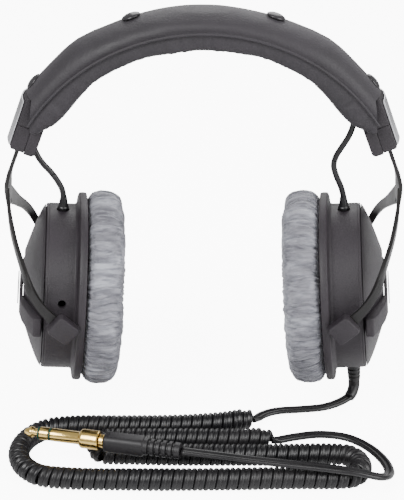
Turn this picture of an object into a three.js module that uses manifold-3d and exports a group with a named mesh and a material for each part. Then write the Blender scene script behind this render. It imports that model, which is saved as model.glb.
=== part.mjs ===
// Closed-back studio headphones: a sprung padded headband, two sliding forks, two tilting ear cups,
// a curly cord and a screw-on jack adapter. Millimetres, +Z up, -Y is the front, +X the wearer's left.
// The origin is the middle of the headband pad's underside, where the band rests on a head.
import * as THREE from 'three';
import { mergeVertices } from 'three/addons/utils/BufferGeometryUtils.js';
import Module from 'manifold-3d';

const wasm = await Module();
wasm.setup();

// ---- driving dimensions -------------------------------------------------------------------
const GAP = 0.3;                 // clearance between touching pieces
const BAND_UNDER_R = 91.5;       // underside of the headband pad, from the arch's centre
const BAND_SEAM_R = 100;         // where the pad is widest and its seams run
const BAND_TOP_R = 109.2;        // crown of the pad
const BAND_HALF_W = 19;
const BAND_END = 59.5;             // degrees from the top to each end of the pad
const SPRING_END = 53;
const SPRING_R = 95;             // inner face of the spring steel strip
const SPRING_T = 1;
const SPRING_HALF_W = 10;

const CUP_Z = -128.2;            // the cups' centre below the origin
const ARCH_Z = -BAND_UNDER_R;    // the arch's centre below the origin
const PIVOT_X = 72.5;
const PIVOT_Y = 47.5;            // middle of each fork arm's eye
const SPLAY = -5.3;              // degrees: each cup stands out at the bottom
const TOE_IN = -6.5;             // degrees: each cup's front is turned in

const CUP_R = 42.4;
const WALL = 2.2;
const FLANGE_R = 48.2;
const FLANGE_U = -10;            // along the cup's axis from the pivot, outwards positive
const SPLIT_U = 10.1;            // where the outer cover meets the shell
const FACE_U = 20.3;
const FACE_R = 17.5;
const PAD_OUTER_R = 50;
const PAD_INNER_R = 28;
const PAD_FACE_U = -29.5;

const SLIDE_TILT = 21;           // degrees of the slider from vertical
const STEM_EXIT = [91.6, 74];    // x, z (cup heights) where the stem leaves the slider
const STEM_UP = 22;              // length of stem above that point
const RETRACT = 12;              // how far the fork can push back up into the band
const STEM_HALF_W = 7;
const STEEL = 1.8;

const FLOOR = -68;               // what the cord lies on, in cup heights
const CORD_D = 5;                // width of the twin cord
const COIL_D = 11;
const COIL_Z = FLOOR + COIL_D / 2 + 0.05;
const CORD_Z = FLOOR + CORD_D / 2 + 0.3;
const LEAD_R = 1.5;

// ---- materials ----------------------------------------------------------------------------
const paint = (color, roughness, metalness = 0) =>
  () => new THREE.MeshStandardMaterial({ color, roughness, metalness });
const charcoalPlastic = paint(0x504b50, 0.6);
const blackPlastic = paint(0x2a292c, 0.5);
const darkSteel = paint(0x3d3c40, 0.45, 0.6);
const springSteel = paint(0x8f8f92, 0.35, 0.9);
const silver = paint(0xc9c9cc, 0.3, 0.8);
const leatherette = paint(0x4b484e, 0.75);
const velour = paint(0x9a9aa3, 0.95);
const blackCord = paint(0x1c1b1e, 0.45);
const foam = paint(0x242427, 0.98);
const gold = paint(0xc8a04a, 0.25, 1);
const green = paint(0x123a2a, 0.5);

// ---- geometry helpers ---------------------------------------------------------------------
const rad = THREE.MathUtils.degToRad;
const v3 = (x, y, z) => new THREE.Vector3(x, y, z);

function weld(geometry) {
  geometry.deleteAttribute('normal');
  geometry.deleteAttribute('uv');
  return mergeVertices(geometry, 1e-4);
}

// Faces point out when the signed volume is positive.
function faceOut(geometry) {
  const g = weld(geometry);
  const p = g.attributes.position;
  const t = g.index.array;
  const [a, b, c] = [v3(), v3(), v3()];
  let volume = 0;
  for (let i = 0; i < t.length; i += 3) {
    a.fromBufferAttribute(p, t[i]);
    b.fromBufferAttribute(p, t[i + 1]);
    c.fromBufferAttribute(p, t[i + 2]);
    volume += a.dot(b.cross(c));
  }
  if (volume < 0) {
    for (let i = 0; i < t.length; i += 3) [t[i], t[i + 1]] = [t[i + 1], t[i]];
  }
  return g;
}

function solid(geometry) {
  const g = faceOut(geometry);
  return new wasm.Manifold(new wasm.Mesh({
    numProp: 3,
    vertProperties: new Float32Array(g.attributes.position.array),
    triVerts: new Uint32Array(g.index.array),
  }));
}

function surface(manifold) {
  const m = manifold.getMesh();
  const g = new THREE.BufferGeometry();
  g.setAttribute('position', new THREE.BufferAttribute(new Float32Array(m.vertProperties), 3));
  g.setIndex(new THREE.BufferAttribute(new Uint32Array(m.triVerts), 1));
  return g;
}

function cut(body, ...tools) {
  return surface(tools.reduce((left, tool) => left.subtract(solid(tool)), solid(body)));
}

function join(...bodies) {
  return surface(bodies.map(solid).reduce((all, next) => all.add(next)));
}

function box(x0, x1, y0, y1, z0, z1) {
  return new THREE.BoxGeometry(x1 - x0, y1 - y0, z1 - z0)
    .translate((x0 + x1) / 2, (y0 + y1) / 2, (z0 + z1) / 2);
}

// A profile of [along, radius] pairs turned about the X axis.
function turned(profile, sides = 28) {
  const points = profile.map(([u, r]) => new THREE.Vector2(r, u));
  return new THREE.LatheGeometry(points, sides).rotateZ(-Math.PI / 2);
}

function ring(profile, sides = 28) {
  return turned([...profile, profile[0]], sides);
}

function rod(radius, from, to, sides = 10) {
  const [a, b] = [v3(...from), v3(...to)];
  const g = new THREE.CylinderGeometry(radius, radius, a.distanceTo(b), sides);
  g.applyQuaternion(new THREE.Quaternion().setFromUnitVectors(v3(0, 1, 0), b.clone().sub(a).normalize()));
  return g.translate(...a.add(b).multiplyScalar(0.5));
}

// A closed skin through a list of equal rings of points, with flat ends.
function loft(rings) {
  const n = rings[0].length;
  const position = rings.flat().flatMap((p) => [p.x, p.y, p.z]);
  const index = [];
  for (let i = 0; i + 1 < rings.length; i++) {
    for (let j = 0; j < n; j++) {
      const [a, b] = [i * n + j, i * n + (j + 1) % n];
      index.push(a, b, a + n, b, b + n, a + n);
    }
  }
  const last = (rings.length - 1) * n;
  for (let j = 1; j + 1 < n; j++) {
    index.push(0, j + 1, j, last, last + j, last + j + 1);
  }
  const g = new THREE.BufferGeometry();
  g.setAttribute('position', new THREE.BufferAttribute(new Float32Array(position), 3));
  g.setIndex(index);
  return faceOut(g);
}

// A flat strip along a path: every station gives its centre, its face's normal and its half width.
function strip(stations, thickness) {
  return loft(stations.map(({ at, normal, half }, i) => {
    const before = stations[Math.max(i - 1, 0)].at;
    const after = stations[Math.min(i + 1, stations.length - 1)].at;
    const along = v3(...after).sub(v3(...before)).normalize();
    const n = v3(...normal).normalize();
    const side = along.clone().cross(n).normalize();
    n.copy(side).cross(along).normalize();
    const corner = (s, t) => v3(...at).addScaledVector(side, s * half).addScaledVector(n, t * thickness / 2);
    return [corner(-1, -1), corner(1, -1), corner(1, 1), corner(-1, 1)];
  }));
}

function tube(points, radius, sides, steps) {
  const section = new THREE.Shape(
    Array.from({ length: sides }, (_, i) => {
      const a = 2 * Math.PI * i / sides;
      return new THREE.Vector2(radius * Math.cos(a), radius * Math.sin(a));
    }));
  const path = new THREE.CatmullRomCurve3(points.map((p) => v3(...p)), false, 'centripetal');
  return new THREE.ExtrudeGeometry(section, { steps, extrudePath: path });
}

// An outline in x and z, pulled along Y.
function slab(outline, y0, y1) {
  const g = new THREE.ExtrudeGeometry(new THREE.Shape(outline.map(([x, z]) => new THREE.Vector2(x, z))),
    { depth: y1 - y0, bevelEnabled: false });
  return g.rotateX(Math.PI / 2).translate(0, y1, 0);
}

function piece(name, geometry, material) {
  const mesh = new THREE.Mesh(faceOut(geometry), material());
  mesh.name = name;
  return mesh;
}

// ---- the headband -------------------------------------------------------------------------
const onArch = (radius, degrees, y = 0) =>
  v3(radius * Math.sin(rad(degrees)), y, ARCH_Z + radius * Math.cos(rad(degrees)));

// The pad's section: a crown over the seams and a flatter underside, as [radius, y]. The crown swells
// at the shoulders and the underside above the sliders, where the cover is drawn in under the foam.
const EDGE_ROLL = 2.2;           // how far the underside's edges hang below its middle
const swell = (degrees, height, at, width) => height * Math.exp(-(((Math.abs(degrees) - at) / width) ** 2));

function padSection(degrees) {
  const close = Math.min(1, Math.sqrt(Math.max(0.3, (BAND_END - Math.abs(degrees)) / 7)));
  const crown = BAND_TOP_R - BAND_SEAM_R + swell(degrees, 1.4, 34, 7);
  const under = (BAND_SEAM_R - BAND_UNDER_R) * close + swell(degrees, 3.8, 48, 9);
  const points = [];
  for (let i = 0; i <= 6; i++) {
    const a = Math.PI * i / 6;
    points.push([BAND_SEAM_R + crown * Math.sin(a), BAND_HALF_W * Math.cos(a)]);
  }
  for (let i = 1; i < 5; i++) {
    const a = Math.PI * i / 5;
    points.push([BAND_SEAM_R - under * Math.sin(a) ** 0.25 - EDGE_ROLL * Math.cos(a) ** 2, -BAND_HALF_W * Math.cos(a)]);
  }
  return points;
}

function archSweep(section, from, to, steps) {
  return loft(Array.from({ length: steps + 1 }, (_, i) => {
    const degrees = from + (to - from) * i / steps;
    return section(degrees).map(([r, y]) => onArch(r, degrees, y));
  }));
}

function strapSection(inner, thickness, half) {
  return () => [[inner, -half], [inner, half], [inner + thickness, half], [inner + thickness, -half]];
}

const stemDir = [Math.sin(rad(SLIDE_TILT)), -Math.cos(rad(SLIDE_TILT))];
const stemAt = (down) => [STEM_EXIT[0] + stemDir[0] * down, STEM_EXIT[1] + stemDir[1] * down];

// A box along the stem's line: s runs down the stem from its exit, t outwards across it.
function alongStem(s0, s1, t0, t1, half) {
  const g = box(t0, t1, -half, half, -s1, -s0);
  return g.rotateY(rad(-SLIDE_TILT)).translate(STEM_EXIT[0], 0, CUP_Z + STEM_EXIT[1]);
}

// A prism along the stem, from a plan outline of [t, y], or from one outline to another.
function stemPrism(s0, s1, outline, last = outline) {
  const g = loft([[s0, outline], [s1, last]].map(([s, plan]) => plan.map(([t, y]) => v3(t, y, -s))));
  return g.rotateY(rad(-SLIDE_TILT)).translate(STEM_EXIT[0], 0, CUP_Z + STEM_EXIT[1]);
}

function headbandPad() {
  const body = archSweep(padSection, -BAND_END, BAND_END, 26);
  const channel = archSweep(strapSection(SPRING_R - GAP, SPRING_T + 2 * GAP, SPRING_HALF_W + GAP),
    -BAND_END - 2, BAND_END + 2, 26);
  const pocket = alongStem(-STEM_UP - RETRACT - 1, 6, -STEEL / 2 - 0.5, STEEL / 2 + 0.5, STEM_HALF_W + 0.6);
  const blockRoom = alongStem(BLOCK_TOP - GAP, 6, -20, 12, 30);
  const room = (inner) => [[inner - GAP, -30], [20, -30], [20, 30], [inner - GAP, 30]];
  const collarRoom = stemPrism(COLLAR_TOP - GAP, BLOCK_TOP, room(COLLAR_TOP_IN), room(COLLAR_IN));
  return cut(body, channel, ...[pocket, blockRoom, collarRoom].flatMap((g) => [g, g.clone().scale(-1, 1, 1)]));
}

// s runs down the stem, t outwards; the slider's block is in two halves, split between the two steels.
const BLOCK_TOP = -17;
const BLOCK_END = -4.3;
const BLOCK_OUT = 5.6;
const BLOCK_EDGE_OUT = 3.4;
const BLOCK_SPLIT = -3.4;
const BLOCK_IN = -9;
const BLOCK_HALF = 12.5;
const COLLAR_TOP = -31.4;
const COLLAR_TOP_IN = 1.4;
const COLLAR_IN = -3;
const BOW_HALF = 5;
const PLATE_HALF = 11.5;

// The strip follows the arch and then runs straight down inside the slider's inner half.
function headbandSpring() {
  const mid = SPRING_R + SPRING_T / 2;
  const stations = [];
  for (let d = -SPRING_END; d <= SPRING_END + 0.01; d += 2 * SPRING_END / 26) {
    stations.push({ at: onArch(mid, d).toArray(), normal: onArch(1, d).sub(onArch(0, d)).toArray(),
      half: SPRING_HALF_W });
  }
  const straight = onArch(mid, SPRING_END)
    .add(v3(Math.cos(rad(SPRING_END)), 0, -Math.sin(rad(SPRING_END))).multiplyScalar(4.2));
  for (const [side, add] of [[1, 'push'], [-1, 'unshift']]) {
    stations[add]({ at: [side * straight.x, 0, straight.z],
      normal: [side * Math.sin(rad(SPRING_END)), 0, Math.cos(rad(SPRING_END))], half: SPRING_HALF_W });
  }
  return strip(stations, SPRING_T);
}

function domedStud(degrees) {
  const profile = [[0, 0], [0, 4.4], [0.8, 4.4], [1.6, 2.8], [2, 0]];
  const g = turned(profile, 12).rotateY(-Math.PI / 2);
  return g.rotateY(rad(degrees)).translate(...onArch(BAND_TOP_R + GAP, degrees).toArray());
}

// ---- one side: slider, fork, cup ----------------------------------------------------------
// In plan the slider's outer face is bowed: its front and back edges stand further in.
const bowed = (inner, edge, out, half) => [[inner, -half], [edge, -half], [out, -BOW_HALF], [out, BOW_HALF],
  [edge, half], [inner, half]];

function sliderOuter() {
  return cut(stemPrism(BLOCK_TOP, BLOCK_END, bowed(BLOCK_SPLIT + GAP / 2, BLOCK_EDGE_OUT, BLOCK_OUT, BLOCK_HALF)),
    alongStem(BLOCK_TOP - 5, 4, -STEEL / 2 - GAP, STEEL / 2 + GAP, STEM_HALF_W + GAP),
    alongStem(BLOCK_TOP - 1, BLOCK_TOP + 2.5, BLOCK_SPLIT - 1, BLOCK_SPLIT + 1.2, SPRING_HALF_W + 1));
}

function sliderInner() {
  return alongStem(BLOCK_TOP, BLOCK_END + 0.6, BLOCK_IN, BLOCK_SPLIT - GAP / 2, BLOCK_HALF);
}

// The upper collar covers the stem above the block, which slides in a channel on its inner side.
function collar() {
  const plan = (inner) => bowed(inner, BLOCK_EDGE_OUT, BLOCK_OUT, BLOCK_HALF);
  return cut(stemPrism(COLLAR_TOP, BLOCK_TOP - GAP, plan(COLLAR_TOP_IN), plan(COLLAR_IN)),
    alongStem(COLLAR_TOP - 5, 4, COLLAR_IN - 1, STEEL / 2 + GAP, STEM_HALF_W + GAP));
}

// The plate follows the bowed face over both the collar and the block.
function facePlate() {
  const edge = BLOCK_EDGE_OUT + (BLOCK_OUT - BLOCK_EDGE_OUT) * (BLOCK_HALF - PLATE_HALF) / (BLOCK_HALF - BOW_HALF);
  const gap = GAP + 0.05;
  const face = bowed(edge + gap - 0.01, edge + gap + 0.8, BLOCK_OUT + gap + 0.8, PLATE_HALF);
  return cut(stemPrism(COLLAR_TOP + 1.8, BLOCK_END - 1.6, face),
    stemPrism(COLLAR_TOP, BLOCK_END, bowed(BLOCK_SPLIT, BLOCK_EDGE_OUT + gap, BLOCK_OUT + gap, BLOCK_HALF)));
}

// The yoke and the cup hang toed in: turned about the upright line through the cup's centre.
function toed(x, y, z) {
  const [c, d] = [Math.cos(rad(TOE_IN)), Math.sin(rad(TOE_IN))];
  return [PIVOT_X + x * c - y * d, x * d + y * c, z];
}

function fork() {
  const top = stemAt(-STEM_UP);
  const foot = stemAt(RETRACT + 0.5);
  const flat = [Math.cos(rad(SLIDE_TILT)), 0, Math.sin(rad(SLIDE_TILT))];
  const stem = strip([
    { at: [top[0], 0, top[1]], normal: flat, half: STEM_HALF_W },
    { at: [foot[0], 0, foot[1]], normal: flat, half: STEM_HALF_W },
    { at: [97, -1.2, 57], normal: [1, 0, 0.1], half: STEM_HALF_W + 0.6 },
    { at: toed(24.6, 0, 49), normal: [1, TOE_IN / 60, 0], half: STEM_HALF_W + 3 },
  ], STEEL);
  const yoke = [[24.6, 3.6, 55, 1, 0, 0, 3.4], [24.5, 9, 49.2, 1, 0.02, 0, 4.4], [23.6, 17, 44, 1, 0.08, 0, 4.2],
    [22.4, 24, 39.6, 1, 0.15, 0, 3.4], [21, 30, 35.6, 1, 0.2, 0, 2.8], [19, 37, 31, 1, 0.28, 0.05, 2.4],
    [17, 43, 26, 0.9, 0.5, 0.1, 2.2], [15.2, 46.6, 21.4, 0.6, 0.8, 0.1, 2], [12, 47.5, 14.4, 0.3, 1, 0.1, 2],
    [7, PIVOT_Y, 6.9, 0, 1, 0, 2.3], [1, PIVOT_Y, 0.9, 0, 1, 0, 3.2], [-2.2, PIVOT_Y, -2.3, 0, 1, 0, 3.3]];
  const turn = new THREE.Matrix4().makeRotationZ(rad(TOE_IN));
  const arm = (side) => strip(yoke.map(([x, y, z, nx, ny, nz, half]) => ({
    at: toed(x, side * y, z), normal: v3(nx, side * ny, nz).applyMatrix4(turn).toArray(), half,
  })), STEEL);
  return cut(join(stem, arm(1), arm(-1)),
    rod(1.8, toed(0, -60, 0), toed(0, -40, 0)), rod(1.8, toed(0, 40, 0), toed(0, 60, 0)));
}

function pivotCap(side) {
  const outline = [[-6, -4.8], [-5, -6], [5.8, -6], [7.2, -4.6], [7.2, 4.6], [5.8, 6], [-4.6, 5.8], [-6, 4.2]];
  const inner = PIVOT_Y + STEEL / 2 + GAP;
  const wide = slab(outline, 0, 1);
  const p = wide.attributes.position;
  for (let i = 0; i < p.count; i++) {
    const outer = p.getY(i) > 0.5;
    const k = outer ? 0.82 : 1;
    p.setXYZ(i, p.getX(i) * k, side * (outer ? inner + 3.6 + 0.12 * p.getZ(i) : inner), p.getZ(i) * k);
  }
  return wide.rotateY(rad(-42));
}

function pivotPin(side) {
  return rod(1.5, [0, side * (CUP_R - WALL - 1.5), 0], [0, side * (PIVOT_Y + STEEL / 2), 0]);
}

const shellHole = (y, z, u = 0, r = 3.2) => rod(r, [u, y * 30, z * 30], [u, y * 60, z * 60], 12);

function cupShell(hasCord) {
  const profile = [[FLANGE_U, CUP_R - WALL], [FLANGE_U, FLANGE_R], [FLANGE_U + 2, FLANGE_R + 0.3],
    [FLANGE_U + 4, FLANGE_R], [FLANGE_U + 4.4, CUP_R + 1.4], [FLANGE_U + 5.4, CUP_R],
    [SPLIT_U - 0.6, CUP_R], [SPLIT_U, CUP_R - 0.5], [SPLIT_U, CUP_R - WALL]];
  const holes = [shellHole(1, 0, 0, 1.8), shellHole(-1, 0, 0, 1.8), shellHole(0, 1, 2)];
  holes.push(hasCord ? shellHole(0, -1, 3, 3.9) : rod(2, [1.5, -30, 9.6], [1.5, -60, 9.6]));
  return cut(ring(profile, 32), ...holes);
}

function outerCover() {
  const steps = 4;
  const outside = Array.from({ length: steps + 1 }, (_, i) => {
    const k = i / steps;
    return [SPLIT_U + GAP + (FACE_U - SPLIT_U - GAP) * Math.pow(k, 0.9),
      CUP_R - 0.5 - (CUP_R - FACE_R - 0.5) * Math.pow(k, 1.15)];
  });
  const inside = outside.slice(0, -1).reverse().map(([u, r]) => [Math.max(u - 1.2, SPLIT_U + GAP), r - WALL]);
  return turned([[FACE_U, 0], ...outside.reverse(), ...inside.reverse(), [FACE_U - WALL, FACE_R - 2],
    [FACE_U - WALL, 0]], 32);
}

// The bar lies on the cover's flat face and follows the cone down to the rim at the front and back.
function crossBar() {
  const outline = [[FACE_U + GAP, 0], [FACE_U + GAP, 18.3], [18.1, 25.6], [16.2, 31], [13.8, 37.1], [11, 42.6],
    [11, 44.4], [14.8, 44.4], [17.6, 38.2], [FACE_U + 0.6, 27.6], [FACE_U + 1.9, 19.4], [FACE_U + 2, 0]];
  const both = [...outline, ...outline.slice(1, -1).reverse().map(([u, y]) => [u, -y])];
  const shape = new THREE.Shape(both.map(([u, y]) => new THREE.Vector2(u, y)));
  return new THREE.ExtrudeGeometry(shape, { depth: 10, bevelEnabled: false }).translate(0, 0, -7.2);
}

function badge() {
  return box(FACE_U + 2 + GAP, FACE_U + 2.9, -11, 11, -6, 2.2);
}

function baffle() {
  return ring([[FLANGE_U + GAP, 21], [FLANGE_U + GAP, CUP_R - WALL - GAP], [FLANGE_U + 2.3, CUP_R - WALL - GAP],
    [FLANGE_U + 2.3, 21]], 28);
}

function driver() {
  return turned([[-9.5, 0], [-9.5, 20.6], [-6.8, 20.6], [-6.8, 24], [-5.6, 24], [-4.8, 19.5], [-1, 18.4], [0, 12],
    [1.6, 11], [1.6, 0]], 24);
}

function frontFoam() {
  return turned([[FLANGE_U - 2.6, 0], [FLANGE_U - 2.6, 26.8], [FLANGE_U - 0.3, 27.3], [FLANGE_U - 0.3, 0]], 24);
}

function rearFelt() {
  return turned([[5.4, 0], [5.4, 33], [8, 33], [8, 0]], 24);
}

function earPad() {
  const depth = FLANGE_U - GAP - PAD_FACE_U;
  const profile = [[PAD_FACE_U, PAD_INNER_R + 8], [PAD_FACE_U, PAD_OUTER_R - 8],
    [PAD_FACE_U + 1.6, PAD_OUTER_R - 3], [PAD_FACE_U + 5, PAD_OUTER_R - 0.4], [PAD_FACE_U + 9, PAD_OUTER_R + 0.4],
    [PAD_FACE_U + depth - 3, PAD_OUTER_R], [PAD_FACE_U + depth, PAD_OUTER_R - 2.5],
    [PAD_FACE_U + depth, PAD_INNER_R + 2], [PAD_FACE_U + depth - 5, PAD_INNER_R],
    [PAD_FACE_U + 4, PAD_INNER_R + 1.4], [PAD_FACE_U + 1.2, PAD_INNER_R + 4]];
  return ring(profile, 30);
}

function leadRelief() {
  const g = turned([[38, 0], [38, 2.6], [43, 2.6], [43.3, 3.2], [44, 3.2], [49, 1.9], [49, 0]], 12);
  return g.rotateY(-Math.PI / 2).translate(2, 0, 0);
}

// The lead leaves the band's end, runs down behind the slider and into the top of the cup. The
// left one hangs in towards the head and the right one bows out.
const LEAD_ROUTE_L = [[73.2, 0, 87.9], [72.4, 0, 84.6], [71, -0.1, 80.8], [68.2, -0.3, 76], [65.2, -0.5, 70.6], [64.4, -0.6, 66],
  [65.9, -0.5, 60.6], [68.6, -0.2, 54.4], [70, 0, 49.6]];
const LEAD_ROUTE_R = [[82.3, 0, 72.2], [81.2, -0.3, 70], [79, -0.7, 66.8], [75.6, -0.8, 62.8], [72.6, -0.5, 58],
  [70.6, -0.1, 53.4], [70, 0, 49.6]];

function side(suffix, hasCord) {
  const group = new THREE.Group();
  group.add(piece(`slider_outer_half_${suffix}`, sliderOuter(), charcoalPlastic));
  group.add(piece(`slider_inner_half_${suffix}`, sliderInner(), charcoalPlastic));
  group.add(piece(`slider_collar_${suffix}`, collar(), charcoalPlastic));
  group.add(piece(`slider_face_plate_${suffix}`, facePlate(), silver));
  group.add(piece(`stud_upper_${suffix}`, domedStud(18.2), blackPlastic));
  group.add(piece(`stud_lower_${suffix}`, domedStud(48.5), blackPlastic));

  const arms = new THREE.Group();
  arms.position.z = CUP_Z;
  arms.add(piece(`fork_${suffix}`, fork(), darkSteel));
  arms.add(piece(`lead_${suffix}`, tube(hasCord ? LEAD_ROUTE_L : LEAD_ROUTE_R, LEAD_R, 8, 12), blackCord));
  group.add(arms);

  const hung = new THREE.Group();
  hung.position.set(PIVOT_X, 0, CUP_Z);
  hung.rotation.z = rad(TOE_IN);
  hung.add(piece(`pivot_cap_front_${suffix}`, pivotCap(-1), charcoalPlastic));
  hung.add(piece(`pivot_cap_back_${suffix}`, pivotCap(1), charcoalPlastic));
  hung.add(piece(`pivot_pin_front_${suffix}`, pivotPin(-1), springSteel));
  hung.add(piece(`pivot_pin_back_${suffix}`, pivotPin(1), springSteel));

  const cup = new THREE.Group();
  cup.rotation.y = rad(SPLAY);
  cup.add(piece(`cup_shell_${suffix}`, cupShell(hasCord), charcoalPlastic));
  cup.add(piece(`outer_cover_${suffix}`, outerCover(), charcoalPlastic));
  cup.add(piece(`cross_bar_${suffix}`, crossBar(), charcoalPlastic));
  cup.add(piece(`badge_${suffix}`, badge(), silver));
  cup.add(piece(`baffle_${suffix}`, baffle(), blackPlastic));
  cup.add(piece(`driver_${suffix}`, driver(), blackPlastic));
  cup.add(piece(`driver_foam_${suffix}`, frontFoam(), foam));
  cup.add(piece(`rear_felt_${suffix}`, rearFelt(), foam));
  cup.add(piece(`ear_pad_${suffix}`, earPad(), velour));
  cup.add(piece(`lead_relief_${suffix}`, leadRelief(), blackPlastic));
  if (hasCord) cup.add(piece('cord_relief', cordRelief(), blackPlastic));
  hung.add(cup);
  group.add(hung);
  return group;
}

// ---- the cord and its plug ----------------------------------------------------------------
// Cord heights are given from the cups' centre, as CUP_Z is.
const RELIEF_U = 3;
const RELIEF_END = -56;

function cordRelief() {
  const g = turned([[38, 0], [38, 3.4], [43, 3.4], [43.4, 4.4], [44.6, 4.3], [-RELIEF_END, 2.9],
    [-RELIEF_END, 0]], 12);
  return g.rotateY(Math.PI / 2).translate(RELIEF_U, 0, 0);
}

const STRAIGHT_ROUTE = [[80.7, 0.3, -56.9], [80.6, -0.8, -60], [78.8, -3.6, -63.6], [74, -7.6, CORD_Z + 0.3],
  [64, -13.4, CORD_Z], [51, -15.8, CORD_Z], [38, -17.6, CORD_Z], [30.8, -21.4, CORD_Z], [26.2, -26.8, CORD_Z]];

const RUN_BACK = -36;
const RUN_FRONT = -82;
const RUN_MID = -61.5;
const RUN_INNER = -48.2;

function halfTurn(x, y0, y1, outwards) {
  const middle = (y0 + y1) / 2;
  const r = Math.abs(y1 - y0) / 2;
  return [30, 60, 90, 120, 150].map((a) => [x + outwards * r * Math.sin(rad(a)),
    middle + (y0 - middle) * Math.cos(rad(a)), COIL_Z]);
}

const COIL_ROUTE = [[25, -28.2, COIL_Z], [10, -32.6, COIL_Z], [-15, -35.4, COIL_Z], [-40, RUN_BACK, COIL_Z],
  [-66, RUN_BACK, COIL_Z], ...halfTurn(-68, RUN_BACK, RUN_FRONT, -1), [-66, RUN_FRONT, COIL_Z],
  [-35, RUN_FRONT - 1, COIL_Z], [0, RUN_FRONT - 1, COIL_Z], [35, RUN_FRONT, COIL_Z],
  ...halfTurn(66, RUN_FRONT, RUN_MID, 1), [62, RUN_MID, COIL_Z], [35, RUN_MID - 0.8, COIL_Z],
  [0, RUN_MID - 0.8, COIL_Z], [-35, RUN_MID, COIL_Z], ...halfTurn(-46, RUN_MID, RUN_INNER, -1),
  [-40, RUN_INNER, COIL_Z], [-15, RUN_INNER + 0.4, COIL_Z], [12, RUN_INNER, COIL_Z], [34, RUN_INNER + 1, COIL_Z]];

// The plug lies on the coils: its cable end, and the direction of its tip.
const PLUG_END = [-11, -76.4, FLOOR + COIL_D + 6.2];
const PLUG_TURN = 167.2;
const ON_TOP = FLOOR + COIL_D + CORD_D / 2;
const TAIL_ROUTE = [[34.7, -46.8, CORD_Z + 0.4], [47, -42, CORD_Z], [60, -39.8, CORD_Z], [73, -42.8, CORD_Z],
  [83, -52, CORD_Z], [89, -64, CORD_Z], [89.6, -76, CORD_Z + 1.5], [84, -85.6, CORD_Z + 6],
  [72, -87.8, ON_TOP - 0.4], [57, -85.6, ON_TOP + 0.5], [40, -82.6, ON_TOP + 0.6], [22, -80, ON_TOP + 1.2],
  [6, -78.2, ON_TOP + 2.4], [-10.6, -76.5, FLOOR + COIL_D + 6.2]];

// Each plug piece is turned about the plug's axis; lengths run from the cable end to the tip.
function onPlug(profile, sides = 14) {
  return turned(profile, sides).rotateZ(rad(PLUG_TURN)).translate(...PLUG_END);
}

function plugPieces() {
  const inner = 1.75;
  const boot = onPlug([[0, 0], [0, 4], [4, 4.1], [17, 4.2], [18.5, 4.9], [37, 4.9], [37.6, 4.2], [37.6, 0]]);
  const jack = onPlug([[37.6 + GAP, 0], [37.6 + GAP, 3.2], [40.2, 3.2], [40.2, inner], [53.5, inner], [55.5, 0.6],
    [55.8, 0]]);
  const collarProfile = [[40.5, inner + GAP], [40.5, 4.7], [49.2, 4.7], [49.8, 4], [50.4, 3.18], [64.6, 3.18],
    [64.6, 1.2], [57, 1.2], [56.4, inner + GAP]];
  const insulator = (at) => onPlug([[at, 0], [at, 3.16], [at + 0.7, 3.16], [at + 0.7, 0]]);
  const band = onPlug([[65.6 + GAP, 0], [65.6 + GAP, 3.17], [70.3, 3.17], [70.3, 0]]);
  const tip = onPlug([[71.6, 0], [71.6, 2.2], [73.2, 1.9], [75, 2.75], [78.2, 1.1], [78.8, 0]]);
  return [['plug_boot', boot, blackPlastic], ['jack_small', jack, gold],
    ['adapter_sleeve', onPlug([...collarProfile, collarProfile[0]], 16), gold],
    ['adapter_insulator_rear', insulator(64.9), green], ['adapter_ring', band, gold],
    ['adapter_insulator_front', insulator(70.6), green], ['adapter_tip', tip, gold]];
}

function cord() {
  const group = new THREE.Group();
  group.position.z = CUP_Z;
  group.add(piece('cord_straight', tube(STRAIGHT_ROUTE, CORD_D / 2, 8, 14), blackCord));
  group.add(piece('cord_coil', tube(COIL_ROUTE, COIL_D / 2, 10, 44), blackCord));
  group.add(piece('cord_tail', tube(TAIL_ROUTE, CORD_D / 2, 8, 22), blackCord));
  for (const [name, geometry, material] of plugPieces()) group.add(piece(name, geometry, material));
  return group;
}

// ---- the whole object ---------------------------------------------------------------------
const headphones = new THREE.Group();
headphones.add(piece('headband_pad', headbandPad(), leatherette));
headphones.add(piece('headband_spring', headbandSpring(), springSteel));
headphones.add(side('l', true));
const right = side('r', false);
right.scale.x = -1;
headphones.add(right);
headphones.add(cord());

export default headphones;
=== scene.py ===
"""The looks of a pair of closed-back studio headphones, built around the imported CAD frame."""

import math

import bmesh
import bpy
import numpy as np
from mathutils import Matrix, Vector, noise


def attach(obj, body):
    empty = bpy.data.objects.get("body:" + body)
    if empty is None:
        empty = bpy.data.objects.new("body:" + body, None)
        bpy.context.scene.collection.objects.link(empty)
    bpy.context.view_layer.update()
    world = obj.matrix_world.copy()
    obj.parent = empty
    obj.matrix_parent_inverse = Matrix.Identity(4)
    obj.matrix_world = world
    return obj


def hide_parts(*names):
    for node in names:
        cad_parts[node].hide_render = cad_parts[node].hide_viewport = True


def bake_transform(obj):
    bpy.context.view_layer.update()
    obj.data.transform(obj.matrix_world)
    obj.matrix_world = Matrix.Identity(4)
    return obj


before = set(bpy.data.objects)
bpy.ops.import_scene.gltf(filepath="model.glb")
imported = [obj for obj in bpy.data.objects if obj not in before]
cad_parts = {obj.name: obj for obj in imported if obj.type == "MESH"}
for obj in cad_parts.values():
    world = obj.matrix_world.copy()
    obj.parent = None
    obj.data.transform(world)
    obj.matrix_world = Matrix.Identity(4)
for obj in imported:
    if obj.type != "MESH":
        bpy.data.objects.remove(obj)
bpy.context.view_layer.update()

# ---- driving dimensions, in millimetres as in the CAD ---------------------------------------
MM = 0.001
CUP_Z = -128.2          # the cups' centre below the origin
ARCH_Z = -91.5          # the arch's centre below the origin
PIVOT_X = 72.5
PIVOT_Y = 47.5
SPLAY = math.radians(-5.3)
TOE_IN = math.radians(-6.5)
SEAM_R = 100
TOP_R = 109.2
UNDER_R = 91.5
BAND_HALF_W = 19
BAND_END = 59.5
CUP_R = 42.4
FLANGE_U = -10
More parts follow.
